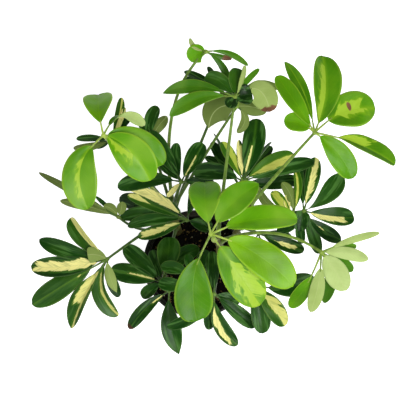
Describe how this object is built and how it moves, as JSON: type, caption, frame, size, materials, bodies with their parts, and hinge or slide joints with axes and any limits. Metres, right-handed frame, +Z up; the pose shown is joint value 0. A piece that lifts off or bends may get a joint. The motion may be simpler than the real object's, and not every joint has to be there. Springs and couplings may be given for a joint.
{
  "type": "potted umbrella plant",
  "caption": "Bushy house plant with variegated finger-like compound leaves on slender stalks, growing on woody stems from soil in a round tapered plastic nursery pot.",
  "frame": {"origin": "middle of the pot's underside, on the surface that the pot stands on", "axes": "+Z up along the pot's axis, +Y towards the back of the plant (the top of the picture), +X to the right of the picture"},
  "size_m": [0.3847, 0.3166, 0.3994],
  "materials": {
    "pot_plastic": "black moulded polypropylene, satin",
    "soil": "moist crumbly potting mix",
    "bark": "green-brown woody bark with leaf scars",
    "young_leaf": "glossy bright lime-green new leaf with yellow splashes",
    "mature_leaf": "glossy dark green leaf with cream variegation",
    "pale_leaf": "matt pale grey-green leaf turned to show its underside"
  },
  "bodies": {
    "root": {"pot": "pot_plastic", "soil": "soil", "stem_middle": "bark", "stem_left": "bark", "stem_right": "bark", "leaf_crown_young": "young_leaf", "leaf_upper_left_young": "young_leaf", "leaf_upper_left_old": "mature_leaf", "leaf_upper_left_inner": "mature_leaf", "leaf_left_grey": "mature_leaf", "leaf_left_cream": "mature_leaf", "leaf_centre_left": "mature_leaf", "leaf_left_star": "mature_leaf", "leaf_upper_middle": "mature_leaf", "leaf_upper_middle_lower": "mature_leaf", "leaf_back": "mature_leaf", "leaf_back_pale": "pale_leaf", "leaf_back_small": "mature_leaf", "leaf_far_back": "young_leaf", "leaf_upper_right_young": "young_leaf", "leaf_right_cream": "mature_leaf", "leaf_right_inner": "mature_leaf", "leaf_right_pale": "pale_leaf", "leaf_front": "mature_leaf", "leaf_front_right": "mature_leaf", "leaf_low_left": "mature_leaf", "leaf_low_front": "mature_leaf", "leaf_inner_right": "mature_leaf", "leaf_low_inner": "mature_leaf"}
  },
  "joints": []
}
